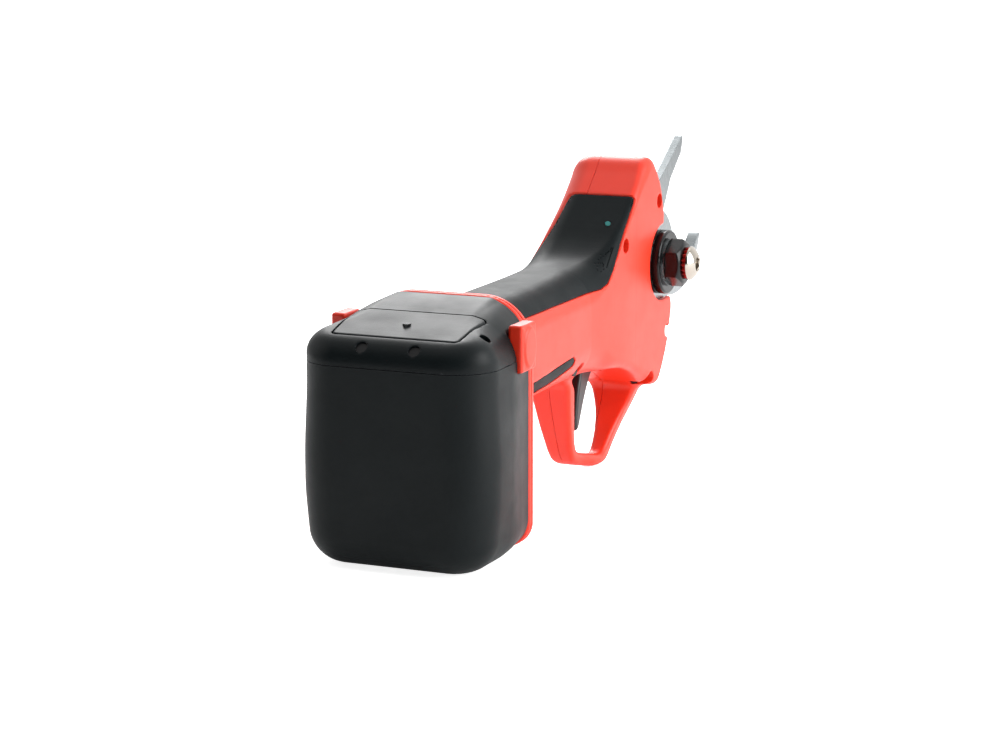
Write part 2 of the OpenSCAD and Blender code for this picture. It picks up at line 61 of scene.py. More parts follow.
def both(a, b, k=0.0):
    """Intersection, with a fillet of radius k along the meeting edge."""
    if np.isscalar(k) and k <= 0:
        return np.maximum(a, b)
    u = np.maximum(a + k, 0)
    v = np.maximum(b + k, 0)
    return np.minimum(np.maximum(a + k, b + k), 0) + np.hypot(u, v) - k


def joined(a, b, k=0.0):
    """Union, with a blend of size k in the inner corner."""
    if k <= 0:
        return np.minimum(a, b)
    h = np.maximum(k - np.abs(a - b), 0) / k
    return np.minimum(a, b) - h * h * k / 4


def without(a, b, k=0.0):
    """a with b cut away, and a fillet of radius k along the cut's edge."""
    return both(a, -b, k)


def smooth_step(t):
    """0 below 0, 1 above 1, and a smooth rise between."""
    t = np.clip(t, 0, 1)
    return t * t * (3 - 2 * t)


def along(y, places, values):
    """A smooth curve through values given at places."""
    slopes = np.gradient(values, places)
    i = np.clip(np.searchsorted(places, y) - 1, 0, len(places) - 2)
    p = np.asarray(places, float)
    v = np.asarray(values, float)
    span = p[i + 1] - p[i]
    t = np.clip((y - p[i]) / span, 0, 1)
    a, b = v[i], v[i + 1]
    m = np.where(np.sign(b - a) == 0, 0, slopes[i] * span)
    n = np.where(np.sign(b - a) == 0, 0, slopes[i + 1] * span)
    limit = 3 * np.abs(b - a)
    m = np.clip(m, -limit, limit)
    n = np.clip(n, -limit, limit)
    t2, t3 = t * t, t * t * t
    return (2 * t3 - 3 * t2 + 1) * a + (t3 - 2 * t2 + t) * m + (3 * t2 - 2 * t3) * b + (t3 - t2) * n


CURVE_STEPS = 6


def curve(points):
    """A closed smooth line through the given corner points."""
    p = np.asarray(points, float)
    before, after, last = np.roll(p, 1, 0), np.roll(p, -1, 0), np.roll(p, -2, 0)
    out = []
    for t in np.arange(CURVE_STEPS) / CURVE_STEPS:
        out.append(
            0.5 * (2 * p + (after - before) * t + (2 * before - 5 * p + 4 * after - last) * t * t
                   + (3 * p - before - 3 * after + last) * t ** 3)
        )
    return np.stack(out, 1).reshape(-1, 2)


class Outline:
    """Distance to a closed outline in a plane, kept on a fine raster."""

    MARGIN = 14.0
    CELL = 0.3

    def __init__(self, points):
        p = np.asarray(points, float)
        q = np.roll(p, -1, 0)
        self.lo = p.min(0) - self.MARGIN
        count = np.ceil((p.max(0) + self.MARGIN - self.lo) / self.CELL).astype(int) + 1
        a = self.lo[0] + self.CELL * np.arange(count[0])[:, None]
        b = self.lo[1] + self.CELL * np.arange(count[1])[None, :]
        best = np.full(count, np.inf)
        odd = np.zeros(count, bool)
        for (x0, y0), (x1, y1) in zip(p, q):
            ex, ey = x1 - x0, y1 - y0
            t = np.clip(((a - x0) * ex + (b - y0) * ey) / (ex * ex + ey * ey), 0, 1)
            best = np.minimum(best, (a - x0 - t * ex) ** 2 + (b - y0 - t * ey) ** 2)
            if y0 != y1:
                crossing = (y0 > b) != (y1 > b)
                odd ^= crossing & (a < x0 + (b - y0) * ex / ey)
        self.grid = np.where(odd, -1, 1) * np.sqrt(best)

    def __call__(self, a, b):
        n0, n1 = self.grid.shape
        u = (a - self.lo[0]) / self.CELL
        v = (b - self.lo[1]) / self.CELL
        uc, vc = np.clip(u, 0, n0 - 1.001), np.clip(v, 0, n1 - 1.001)
        i, j = uc.astype(int), vc.astype(int)
        fu, fv = uc - i, vc - j
        g = self.grid
        low = g[i, j] * (1 - fu) + g[i + 1, j] * fu
        high = g[i, j + 1] * (1 - fu) + g[i + 1, j + 1] * fu
        inner = low * (1 - fv) + high * fv
        return inner + self.CELL * np.hypot(u - uc, v - vc)


def rounded_box(x, y, z, centre, half, r):
    """A box of the given half sizes, with edges of radius r."""
    q = [np.abs(c - m) - h + r for c, m, h in zip((x, y, z), centre, half)]
    outside = np.sqrt(sum(np.maximum(c, 0) ** 2 for c in q))
    return outside + np.minimum(np.maximum(np.maximum(q[0], q[1]), q[2]), 0) - r


# ---------- surface builder ----------

AXES = np.eye(3)
ROOT_STEPS = 3  # how often each crossing of the surface is refined
STIFFNESS = 0.06  # pulls a vertex to the middle of its crossings where the surface is flat
CELL_GAP = 0.02  # how near a vertex may come to its cell's wall, as a share of the cell
GRID_BEFORE, GRID_AFTER = 1.37, 1.5  # how far the grid reaches past the given box, in cells
NORMAL_STEP = 0.03  # how far apart the field is read for its slope, as a share of the cell
TINY = 1e-9


def mesh_arrays(field, lo, hi, step):
    """Dual contouring of field on a regular grid: vertices and quads."""
    lo = np.asarray(lo, float) - GRID_BEFORE * step
    n = np.ceil((np.asarray(hi, float) + GRID_AFTER * step - lo) / step).astype(int) + 1
    shapes = ((-1, 1, 1), (1, -1, 1), (1, 1, -1))
    grid = [(lo[k] + step * np.arange(n[k])).reshape(shapes[k]) for k in range(3)]
    value = np.broadcast_to(field(*grid), n).astype(float)
    value = np.where(np.abs(value) < TINY, TINY, value)
    inside = value < 0
    strides = np.array([n[1] * n[2], n[2], 1])
    places, normals, cells, quads = [], [], [], []
    for k in range(3):
        near = [slice(None)] * 3
        far = [slice(None)] * 3
        near[k], far[k] = slice(0, -1), slice(1, None)
        change = inside[tuple(near)] != inside[tuple(far)]
        where = np.argwhere(change)
        if not len(where):
            continue
        va, vb = value[tuple(near)][change], value[tuple(far)][change]
        a, b = np.zeros(len(where)), np.ones(len(where))
        t = va / (va - vb)
        base = lo + step * where
        for _ in range(ROOT_STEPS):
            p = base + np.outer(t, AXES[k]) * step
            v = field(p[:, 0], p[:, 1], p[:, 2])
            same = (v < 0) == (va < 0)
            a, va = np.where(same, t, a), np.where(same, v, va)
            b, vb = np.where(same, b, t), np.where(same, vb, v)
            t = np.clip(a + (b - a) * va / (va - vb + 1e-30), np.minimum(a, b), np.maximum(a, b))
        p = base + np.outer(t, AXES[k]) * step
        e = NORMAL_STEP * step
        g = np.stack([
            field(*(p + e * AXES[m]).T) - field(*(p - e * AXES[m]).T) for m in range(3)
        ], 1)
        g /= np.linalg.norm(g, axis=1)[:, None] + 1e-12
        i, j = (k + 1) % 3, (k + 2) % 3
        corner = []
        for di, dj in ((1, 1), (0, 1), (0, 0), (1, 0)):
            cell = where.copy()
            cell[:, i] -= di
            cell[:, j] -= dj
            corner.append(cell @ strides)
        start = inside[tuple(near)][change]
        ring = np.stack(corner, 1)
        quads.append(np.where(start[:, None], ring, ring[:, ::-1]))
        for c in corner:
            cells.append(c)
            places.append(p)
            normals.append(g)
    cells, places, normals = np.concatenate(cells), np.concatenate(places), np.concatenate(normals)
    quads = np.concatenate(quads)
    keys, index = np.unique(cells, return_inverse=True)
    count = np.bincount(index)
    mean = np.stack([np.bincount(index, places[:, k]) / count for k in range(3)], 1)
    offset = np.einsum("ij,ij->i", normals, places - mean[index])
    ata = np.empty((len(keys), 3, 3))
    atb = np.empty((len(keys), 3))
    for r in range(3):
        atb[:, r] = np.bincount(index, normals[:, r] * offset)
        for c in range(3):
            ata[:, r, c] = np.bincount(index, normals[:, r] * normals[:, c])
    ata += STIFFNESS * count[:, None, None] * np.eye(3)
    move = np.linalg.solve(ata, atb[:, :, None])[:, :, 0]
    points = mean + move
    low = lo + step * np.stack([keys // strides[0], keys % strides[0] // strides[1], keys % strides[1]], 1)
    points = np.clip(points, low + CELL_GAP * step, low + (1 - CELL_GAP) * step)
    return points, np.searchsorted(keys, quads)


def surface(name, field, lo, hi, step, body, slot, replaced, sharp=32):
    """A piece of the object made from a distance field, in place of a CAD node, in its slot's finish."""
    points, quads = mesh_arrays(field, lo, hi, step)
    mesh = bpy.data.meshes.new(name)
    mesh.from_pydata((points * MM).tolist(), [], quads.tolist())
    mesh.validate()
    mesh.update()
    mesh.shade_smooth()
    mesh.set_sharp_from_angle(angle=math.radians(sharp))
    piece = bpy.data.objects.new(name, mesh)
    bpy.context.scene.collection.objects.link(piece)
    mesh.materials.append(LOOKS[slot])
    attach(piece, body)
    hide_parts(replaced)


# ---------- materials ----------


LOOKS = {}
BLOTCH, RUB, SMEAR = 55.0, 240.0, 90.0
EDGE_FROM, EDGE_TO = 0.54, 0.64


def add_look(name, colour, rough, metal=0.0, worn=None, wear=0.25, spread=0.08, specular=0.5, grain=2600.0,
             bump=0.12, depth=0.00006, stretch=(1, 1, 1)):
    """A procedural finish for one slot: speckled colour, worn edges, uneven roughness and fine grain.

    Stretch brushes the pattern along an axis. Grain is how fine the bumps are, and depth their height
    in metres.
    """
    material = bpy.data.materials.new(name)
    material.use_nodes = True
    tree = material.node_tree
    nodes, links = tree.nodes, tree.links
    shader = nodes["Principled BSDF"]
    shader.inputs["Metallic"].default_value = metal
    shader.inputs["Specular IOR Level"].default_value = specular
    place = nodes.new("ShaderNodeTexCoord")
    scale = nodes.new("ShaderNodeMapping")
    scale.inputs["Scale"].default_value = stretch
    links.new(place.outputs["Object"], scale.inputs["Vector"])

    def noise(size, detail):
        n = nodes.new("ShaderNodeTexNoise")
        n.inputs["Scale"].default_value = size
        n.inputs["Detail"].default_value = detail
        links.new(scale.outputs["Vector"], n.inputs["Vector"])
        return n

    def ramp(source, low, high, a, b):
        r = nodes.new("ShaderNodeMapRange")
        for key, v in (("From Min", low), ("From Max", high), ("To Min", a), ("To Max", b)):
            r.inputs[key].default_value = v
        links.new(source, r.inputs["Value"])
        return r

    blotch = noise(BLOTCH, 4.0)
    mix = nodes.new("ShaderNodeMix")
    mix.data_type = "RGBA"
    mix.inputs[6].default_value = (*[c * (1 - spread) for c in colour], 1)
    mix.inputs[7].default_value = (*[min(1, c * (1 + spread)) for c in colour], 1)
    links.new(blotch.outputs["Fac"], mix.inputs[0])
    worn_mix = nodes.new("ShaderNodeMix")
    worn_mix.data_type = "RGBA"
    worn_mix.inputs[7].default_value = (*(worn or colour), 1)
    links.new(mix.outputs[2], worn_mix.inputs[6])
    pointed = nodes.new("ShaderNodeNewGeometry")
    rub = noise(RUB, 3.0)
    edge = ramp(pointed.outputs["Pointiness"], EDGE_FROM, EDGE_TO, 0.0, wear)
    product = nodes.new("ShaderNodeMath")
    product.operation = "MULTIPLY"
    links.new(edge.outputs[0], product.inputs[0])
    links.new(rub.outputs["Fac"], product.inputs[1])
    links.new(product.outputs[0], worn_mix.inputs[0])
    links.new(worn_mix.outputs[2], shader.inputs["Base Color"])
    smear = noise(SMEAR, 5.0)
    rough_range = ramp(smear.outputs["Fac"], 0.3, 0.7, rough * 0.92, min(1, rough * 1.1))
    links.new(rough_range.outputs[0], shader.inputs["Roughness"])
    fine = noise(grain, 2.0)
    bumps = nodes.new("ShaderNodeBump")
    bumps.inputs["Strength"].default_value = bump
    bumps.inputs["Distance"].default_value = depth
    links.new(fine.outputs["Fac"], bumps.inputs["Height"])
    links.new(bumps.outputs["Normal"], shader.inputs["Normal"])
    LOOKS[name] = material


add_look("red_plastic", (0.82, 0.034, 0.011), 0.38, worn=(0.9, 0.13, 0.07), wear=0.3, grain=3200, bump=0.12,
         specular=0.45)
add_look("ring_red", (0.42, 0.012, 0.008), 0.3, metal=0.3)
add_look("battery_black", (0.0035, 0.006, 0.0068), 0.44, worn=(0.05, 0.055, 0.06), wear=0.6, grain=2400,
         bump=0.3, depth=0.00009, spread=0.2, specular=0.17)
add_look("grip_rubber", (0.005, 0.0078, 0.0088), 0.46, worn=(0.06, 0.065, 0.07), wear=0.5, grain=1900,
         bump=0.35, depth=0.00012, spread=0.2, specular=0.1)
add_look("trigger_black", (0.01, 0.011, 0.012), 0.32, worn=(0.06, 0.06, 0.065), wear=0.6)
add_look("stack_black", (0.004, 0.0045, 0.005), 0.22, worn=(0.08, 0.08, 0.085), wear=0.5, specular=0.3)
add_look("screw_black", (0.003, 0.003, 0.0035), 0.4, specular=0.25)
add_look("window_clear", (0.006, 0.007, 0.009), 0.15, specular=0.3)
add_look("status_teal", (0.012, 0.16, 0.15), 0.25)
add_look("cell_sleeve", (0.03, 0.22, 0.45), 0.35)
add_look("tray_black", (0.02, 0.02, 0.022), 0.5)
add_look("nickel", (0.62, 0.6, 0.55), 0.28, metal=1.0)
add_look("board_green", (0.01, 0.12, 0.045), 0.4, spread=0.25)
add_look("capacitor", (0.03, 0.03, 0.035), 0.35)
add_look("spring_steel", (0.5, 0.5, 0.5), 0.3, metal=1.0)
add_look("motor_steel", (0.45, 0.45, 0.46), 0.35, metal=1.0)
add_look("rotor_copper", (0.72, 0.3, 0.13), 0.35, metal=1.0)
add_look("gear_steel", (0.42, 0.42, 0.43), 0.32, metal=1.0)
add_look("head_alloy", (0.36, 0.37, 0.385), 0.42, metal=1.0)
add_look("blade_steel", (0.33, 0.355, 0.365), 0.27, metal=1.0, wear=0.1, grain=1400, bump=0.06,
         stretch=(1, 6, 1))
add_look("bush_bronze", (0.6, 0.38, 0.14), 0.3, metal=1.0)
add_look("polished_steel", (0.50, 0.455, 0.40), 0.16, metal=1.0, bump=0.03)

# ---------- battery ----------

HALF_W, HALF_D, SEAM = node_box("battery_case")[1]
SEAM_GAP = 0.07
REAR_ROUND = 15.5
FOOT_ROUND = 11.5
BATTERY_WALL = 2.2
TOP_AT = ([-40, -17.5, 4.6, 15, 27, 40], [75.0, 80.2, 85.4, 87.6, 88.9, 89.2])
TOP_LEAN = 0.975  # cosine of the top's slope
PANEL_REAR, PANEL_FRONT = -17.5, 4.6
PANEL_LENGTH = PANEL_FRONT - PANEL_REAR
PANEL_SINK = 1.1
SCREW_HOLE, SCREW_DEPTH = 2.15, 4.5
WINDOW_Y = -7  # the charge window's place along the panel
LATCH_Y, LATCH_Z = 14.2, 74.2
CONTACT_Z = 54  # the middle height of the opening for the contacts


def battery_body(x, y, z):
    """The pack's outer form: round rear corners, a top that rises forward, a rounded foot."""
    # the sides are fullest at mid height and draw in towards the foot and the front
    belly = 1.1 * smooth_step((66 - z) / 30) * smooth_step((12 - y) / 20)
    belly = belly - 2.0 * smooth_step((30 - z) / 30) * smooth_step((16 - y) / 24)
    half = HALF_W - 3.6 * smooth_step((y - 1) / 27) + belly
    u = np.abs(x) - half + REAR_ROUND
    v = -y - HALF_D + REAR_ROUND
    plan = np.minimum(np.maximum(u, v), 0) + np.hypot(np.maximum(u, 0), np.maximum(v, 0)) - REAR_ROUND
    top = (z - along(y, *TOP_AT)) * TOP_LEAN
    # the top's edge is rounder at the sides than at the rear
    roll = 7.2 + 10.5 * smooth_step((y + 19) / 24) * smooth_step((np.abs(x) - 9) / 12)
    d = both(plan, top, roll)
    d = both(d, -z, FOOT_ROUND)
    return both(d, y - HALF_D, 1.0)


def latch_window(x, y, z):
    return rounded_box(np.abs(x), y, z, (34.4, LATCH_Y, LATCH_Z), (4.6, 6.65, 8.55), 1.0)


# each screw's place on the right half of the cap, and the direction out of it
CAP_SCREWS = [((9.7, -22.6, 77.6), (0, -0.656, 0.755)), ((29.6, -8.3, 80.6), (0.669, 0, 0.743))]


def peg(x, y, z, centre, direction, radius):
    """Distance to an endless rod, and the place along it."""
    dx, dy, dz = x - centre[0], y - centre[1], z - centre[2]
    t = dx * direction[0] + dy * direction[1] + dz * direction[2]
    return np.sqrt(np.maximum(dx * dx + dy * dy + dz * dz - t * t, 0)) - radius, t


def cap_holes(x, y, z):
    holes = []
    for centre, direction in CAP_SCREWS:
        distance, t = peg(np.abs(x), y, z, centre, direction, SCREW_HOLE)
        holes.append(both(distance, -SCREW_DEPTH - t, 0.3))
    return np.minimum(*holes)


def panel_region(x, y):
    """The panel's plan, a little wider at its front."""
    side = (np.abs(x) - (23.2 + 1.2 * (y - PANEL_REAR) / PANEL_LENGTH)) * 0.998
    return both(side, np.abs(y - (PANEL_REAR + PANEL_FRONT) / 2) - PANEL_LENGTH / 2, 1.6)


def case_field(x, y, z):
    body = battery_body(x, y, z)
    d = without(both(body, -(body + BATTERY_WALL)), latch_window(x, y, z), 0.4)
    d = both(d, z - (SEAM - SEAM_GAP), 0.2)
    return without(d, both(np.abs(x) - 19, both(np.abs(z - CONTACT_Z) - 13, 18 - y)))


def cap_field(x, y, z):
    d = battery_body(x, y, z)
    region = panel_region(x, y)
    outer = both(d, -both(region - 0.55, -(d + PANEL_SINK)), 0.25)
    shell = both(outer, -(d + BATTERY_WALL))
    shell = without(shell, latch_window(x, y, z), 0.4)
    shell = both(shell, (SEAM + SEAM_GAP) - z, 0.2)
    shell = without(shell, cap_holes(x, y, z), 0.25)
    return without(shell, np.hypot(x, y - WINDOW_Y) - 1.5)


def panel_field(x, y, z):
    d = battery_body(x, y, z)
    outer = both(panel_region(x, y), d - 0.12, 0.6)
    return without(both(outer, -(d + 1.0)), np.hypot(x, y - WINDOW_Y) - 1.35, 0.3)


surface("battery_case_body", case_field, (-35.2, -25.2, -0.2), (35.2, 25.2, 70.6), 0.9, "battery",
        "battery_black", "battery_case")
surface("battery_cap_body", cap_field, (-35.2, -25.2, 70), (35.2, 25.2, 89.2), 0.5, "battery",
        "battery_black", "battery_cap")
surface("battery_panel_body", panel_field, (-26, -19, 76), (26, 6, 88), 0.4, "battery",
        "battery_black", "battery_panel")


def latch_field(side):
    def field(x, y, z):
        s = side * x
        block = rounded_box(s, y, z, (33.4, LATCH_Y, LATCH_Z), (2.7, 6.3, 8.2), 1.1)
        # a raised oval for the finger
        oval = np.hypot((y - 14.4) / 5.0, (z - LATCH_Z) / 7.2) * 5.2 - 5.2
        face = both(oval, np.abs(s - 35) - 1.75, 0.7)
        return joined(block, face, 0.5)
    return field


for side, word in ((1, "right"), (-1, "left")):
    box = sorted((side * 28.0, side * 37.0))
    surface(f"latch_{word}_button", latch_field(side), (box[0], 7, 65), (box[1], 21.5, 83.5), 0.4,
            f"latch_{word}", "red_plastic", f"latch_{word}")

# ---------- handle ----------

flange_lo, flange_hi = node_box("rear_flange")
FLANGE_HALF = 31.4
TOP_CORNER, FOOT_CORNER = (13.4, 70.9, 18.0), (22.4, 9.2, 9.0)  # each one's centre and radius
START = flange_hi[1] + 0.2  # where the grip begins
RIGHT = node_box("shell_right")[1][0]
CHEEK_LEFT = node_box("pivot_pin")[0][0]
PIVOT_Y, PIVOT_Z = [float(v) for v in (np.add(*node_box("thrust_disc")) / 2)[1:]]


def radial(y, z):
    """Distance from the pivot's axis."""
    return np.hypot(y - PIVOT_Y, z - PIVOT_Z)


def flange_field(x, y, z):
    ax = np.abs(x)
    across, height, radius = TOP_CORNER
    upper = np.hypot(np.maximum(ax - across, 0), np.maximum(z - height, 0)) - radius
    upper = np.where(z > height, upper, ax - FLANGE_HALF)
    across, height, radius = FOOT_CORNER
    lower = np.hypot(np.maximum(ax - across, 0), np.minimum(z - height, 0)) - radius
    lower = np.where(z < height, lower, ax - FLANGE_HALF)
    plate = np.where(z > 40, upper, lower)
    middle = (flange_lo[1] + flange_hi[1]) / 2
    slab = both(plate, np.abs(y - middle) - (flange_hi[1] - flange_lo[1]) / 2, 1.3)
    groove = both(np.abs(y - flange_lo[1] - 2.2) - 0.3, -(plate + 0.5))
    slab = without(slab, groove, 0.2)
    return without(slab, both(np.abs(x) - 18, np.abs(z - CONTACT_Z) - 10))


surface("rear_flange_body", flange_field, (-32, 25, 0), (32, 31, 90), 0.5, "handle", "red_plastic",
        "rear_flange")

# outlines are seen from the right side, as places along the tool and heights
BODY_LINE = [
    (20, 42), (45, 42), (75, 42), (100, 42.2), (120, 42.6), (136, 42.6), (148, 42), (157, 40), (165, 37),
    (172, 33.8), (178.5, 30.6), (184, 29), (188.6, 29.6), (192.2, 32.8), (196, 38), (200, 44.8),
    (202.8, 52.6), (204.2, 59.6), (201, 66), (198, 74), (196.5, 84), (195, 93.9), (191.5, 106),
    (186, 115.8), (181, 121.2), (175, 120.4), (169.5, 115.6), (160, 107.2), (150, 98.6), (141, 91.4),
    (133, 86.9), (124, 84.9), (112, 84.3), (90, 84), (60, 84), (40, 84), (20, 84)
]
body_line = Outline(curve(BODY_LINE))
# the sides' places and their edges' radii, at distances along the tool
LEFT_AT = ([20, 60, 118, 134, 150, 164, 174, 210], [-18.0, -18.6, -18.6, -17.6, -15.4, -13.4, -12.8, -12.8])
RIGHT_AT = ([20, 60, 118, 134, 150, 164, 210], [18.0, 18.6, 18.8, 19.7, 20.5, 20.75, 20.75])
RIGHT_ROUND_AT = ([20, 118, 130, 140, 150, 166, 177, 188, 210],
                  [13.5, 13.5, 11.0, 6.0, 3.6, 3.4, 4.6, 1.8, 1.5])
ROUND_AT = ([20, 118, 134, 150, 164, 174, 182, 190, 210], [13.5, 13.5, 12.5, 11.5, 10.5, 9.5, 8.5, 4.5, 2.6])


def handle_form(x, y, z):
    """The whole grip and head, solid."""
    left, right = along(y, *LEFT_AT), along(y, *RIGHT_AT)
    r = along(y, *ROUND_AT)
    sides = np.abs(x - (left + right) / 2) - (right - left) / 2
    outline = body_line(y, z)
    # the right face of the head meets its back in a tighter edge than the left one does
    r = np.where(x > (left + right) / 2, np.minimum(r, along(y, *RIGHT_ROUND_AT)), r)
    return both(outline, sides, r)


GUARD_SHIFT = 4.0  # how far the front leg stands to the right
GUARD_OUT = [
    (119, 47), (121.6, 37), (125.6, 25), (130, 14.5), (134, 7.6), (138.5, 4.2), (146, 2.2), (154.5, 0.3),
    (160, -0.1), (165, 0.2), (168.6, 2.0), (173, 5.9), (179, 12), (184.5, 18.5), (187.5, 26), (189, 36),
    (186, 47)
]
GUARD_IN = [
    (126.8, 45), (128.8, 36), (131.6, 26), (134.6, 16.8), (138, 10.8), (143, 8.0), (150, 6.4), (157, 4.7),
    (161.8, 4.6), (165.6, 7.2), (170.5, 12.2), (175.5, 18), (179.5, 25), (180.8, 34), (178, 45)
]
# half widths of the guard's two legs, at heights
REAR_LEG_AT = ([0, 12, 24, 40, 60], [4.6, 5.6, 7.0, 8.6, 9.0])
FRONT_LEG_AT = ([0, 6, 16, 26, 36, 60], [3.2, 3.5, 5.4, 9.0, 12.5, 14.0])
guard_out = Outline(curve(GUARD_OUT))
guard_in = Outline(curve(GUARD_IN))


def guard_field(x, y, z):
    ring = without(guard_out(y, z), guard_in(y, z))
    mix = smooth_step((y - 136) / 28)
    middle = GUARD_SHIFT * mix
    half = along(z, *REAR_LEG_AT) * (1 - mix) + along(z, *FRONT_LEG_AT) * mix
    return both(both(ring, np.abs(x - middle) - half, 1.9), -z, 0.4)


COVER_LINE = [
    (START + 0.2, 76.2), (128, 76.2), (133.6, 77.6), (138.4, 81.9), (146.6, 92.2), (150.4, 96.2),
    (156.2, 101.6), (159.8, 104.9), (161.6, 106.9), (161.0, 109.6), (154, 119), (140, 126), (START + 0.2, 126)
]
cover_line = Outline(np.array(COVER_LINE))
STRIP_LINE = [
    (31.4, 44.2), (31.4, 50), (61, 51.3), (96, 54.2), (100.2, 54.5), (102.4, 52.9), (101.3, 51), (82, 47.4),
    (61, 45.1)
]
strip_line = Outline(np.array(STRIP_LINE))
SCREW_PLACES = [(150.5, 90.0), (188.0, 103.2), (199.2, 49.0), (112.0, 47.6), (180.0, 32.5)]
POST_RADIUS, SCREW_RADIUS, HEAD_RADIUS = 3.9, 1.7, 2.9
POST_LEFT, HEAD_SEAT = -6, 12.5  # where the posts end on the left, and where the screws' heads sit
SHELL_WALL = 2.6
GRIP_END = 118  # where the grip passes into the head
GRIP_FLOOR, HEAD_FLOOR = 64.5, 44.5  # the heights from which the grip and the head are hollow
MOUTH_Y, MOUTH_Z = 197, 62.4  # the rear and the foot of the open front
SKIN_SEAT, SKIN_DEPTH = 1.35, 1.2  # how deep the soft skins' beds and the skins themselves reach
TRIGGER_Y, TRIGGER_Z = [float(v) for v in (np.add(*node_box("trigger_pin")) / 2)[1:]]


def shell_form(x, y, z):
    body = handle_form(x, y, z)
    outer = joined(body, guard_field(x, y, z), 4.0)
    cover = cover_line(y, z)
    # beds for the soft cover and the side strips, a little larger than they are
    outer = without(outer, both(cover - 0.25, -(body + SKIN_SEAT)), 0.45)
    outer = without(outer, both(strip_line(y, z) - 0.3, -(body + SKIN_SEAT)), 0.35)
    hollow = both(body + SHELL_WALL, np.where(y < GRIP_END, GRIP_FLOOR, HEAD_FLOOR) - z)
    pivot = radial(y, z)
    # room for the frame and blades, the open front, and the lane that the cutting blade swings in
    room = both(both(pivot - 24, CHEEK_LEFT - 0.2 - x), x - (RIGHT - 2.4))
    mouth = both(MOUTH_Y - y, MOUTH_Z - z)
    lane = both(both(both(7.2 - x, x - 18.4), 183 - y), np.abs(z - 84.9) - 22.5)
    solid = outer
    for cut in (hollow, room, mouth, lane):
        solid = without(solid, cut)
    # the right wall is cut back around the clamp plate and in front of it
    relief = both(pivot - 15.6, RIGHT - 3.4 - x, 0.3)
    step = both(both(both(pivot - 18, PIVOT_Y - y), MOUTH_Z - z), RIGHT - 3.4 - x)
    solid = without(without(solid, relief, 0.4), step, 0.3)
    # the slot that the trigger comes out of
    slot = both(np.abs(x) - 5.1, both(both(133 - y, y - 165), both(30 - z, z - 50)))
    solid = without(solid, slot, 0.3)
    for cy, cz in SCREW_PLACES:
        around = np.hypot(y - cy, z - cz)
        post = both(both(around - POST_RADIUS, body), POST_LEFT - x)
        solid = joined(solid, post)
        solid = without(solid, both(around - SCREW_RADIUS, POST_LEFT - x))
        solid = without(solid, both(around - HEAD_RADIUS, HEAD_SEAT - x), 0.35)
    return solid


def half_shell(side):
    def field(x, y, z):
        d = both(shell_form(x, y, z), 0.06 - side * x, 0.25)
        return both(d, START - y)
    return field


surface("shell_right_body", half_shell(1), (0, 30.3, -0.4), (21, 204.6, 122), 0.75, "handle",
        "red_plastic", "shell_right")
surface("shell_left_body", half_shell(-1), (-18.8, 30.3, -0.4), (0, 204.6, 122), 0.75, "handle",
        "red_plastic", "shell_left")


def cover_field(x, y, z):
    body = handle_form(x, y, z)
    skin = both(body + 0.25, cover_line(y, z), 0.5)
    skin = both(skin, -(body + SKIN_DEPTH))
    # the hole for the status lens
    return without(skin, peg(x, y, z, (13, 150, 98.4), (0.249, -0.643, 0.724), 1.2)[0], 0.2)


def strip_field(x, y, z):
    body = handle_form(x, y, z)
    skin = both(body + 0.3, strip_line(y, z), 0.35)
    return both(skin, -(body + SKIN_DEPTH))


surface("grip_cover_skin", cover_field, (-19, 30.4, 75), (21, 164, 112), 0.55, "handle", "grip_rubber",
        "grip_cover")
for side, word in ((1, "right"), (-1, "left")):
    box = sorted((side * 6.0, side * 19.0))
    surface(f"grip_strip_{word}_skin", strip_field, (box[0], 31, 43), (box[1], 103, 56), 0.45, "handle",
            "grip_rubber", f"grip_strip_{word}")

TRIGGER_LINE = [
    (147.4, 49.5), (146.2, 45), (144.2, 39), (141.6, 31.6), (139.9, 23.6), (139.6, 19), (140.9, 17.2),
    (143, 18.2), (145.7, 23), (149.4, 29.4), (154.2, 35.9), (159, 40.2), (159.8, 43.4), (158.4, 46.4),
    (155.4, 50.6), (151.4, 53.9), (148, 52.6)
]
trigger_line = Outline(curve(TRIGGER_LINE))
TRIGGER_HOLE = 1.56


def trigger_field(x, y, z):
    d = both(trigger_line(y, z), np.abs(x) - 4.4, 1.5)
    return without(d, np.hypot(y - TRIGGER_Y, z - TRIGGER_Z) - TRIGGER_HOLE)


surface("trigger_lever", trigger_field, (-4.6, 139, 16.5), (4.6, 160.5, 54.5), 0.4, "trigger",
        "trigger_black", "trigger")

# ---------- blades and pivot stack ----------

OPEN = math.radians(43)  # the cutting blade's angle at rest
# both blades' outlines start from the pivot; the cutting blade's lies along its own length
BLADE_LINE = [
    (0, 14.9), (9, 14.2), (20, 12.0), (32, 9.0), (44, 5.8), (56, 3.0), (64, 1.3), (66.8, 0.4), (65, -1.6),
    (60, -3.8), (50, -7.0), (38, -10), (25, -12), (10, -13.6), (0, -14.9), (-10, -11), (-14.9, 0), (-10, 11)
]
blade_line = Outline(curve(BLADE_LINE))
HOOK_LINE = [
    (-14, -10), (-15, -24), (-14.5, -35.8), (-2, -35.8), (2, -26), (6.6, -15.4), (11, -15.2), (24, -17.4),
    (38, -16), (50, -9), (56, -1), (57.8, 4.2), (54.6, 3), (47, -3.8), (37, -8), (27, -9), (20, -6.5),
    (16, 0), (11, 11.3), (0, 15.9), (-11, 11.3), (-15.7, 2)
]
hook_line = Outline(curve(HOOK_LINE))
HOOK_SCREWS = ((-9, -29), (-2, -29))
HOOK_SCREW_RADIUS = 2.0
BUSH_RADIUS, PIN_HOLE = 7.0, 5.02
blade_lo, blade_hi = node_box("cutting_blade")
hook_lo, hook_hi = node_box("hook_blade")


